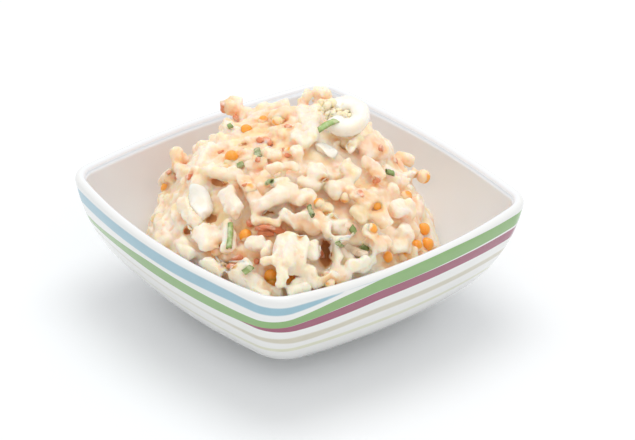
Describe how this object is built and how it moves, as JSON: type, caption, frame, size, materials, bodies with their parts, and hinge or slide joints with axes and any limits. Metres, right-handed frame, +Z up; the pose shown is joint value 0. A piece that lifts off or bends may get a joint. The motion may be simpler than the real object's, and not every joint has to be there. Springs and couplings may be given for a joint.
{
  "type": "seafood salad in a square bowl",
  "caption": "Dressed seafood salad heaped in a square white bowl with soft corners and coloured stripes, topped with a squid ring.",
  "frame": {"origin": "under the middle of the bowl's foot, on the surface it stands on", "axes": "+Z up; X and Y along the bowl's sides, the +X -Y corner nearest the viewer in the picture"},
  "size_m": [0.16, 0.16, 0.1013],
  "materials": {
    "bowl_glaze": "white glaze with coloured stripes round the outside",
    "dressed_salad": "wet, cream dressing over shreds, roe and chives",
    "squid": "moist, smooth"
  },
  "bodies": {
    "root": {"bowl": "bowl_glaze", "salad": "dressed_salad", "squid_ring": "squid"}
  },
  "joints": []
}
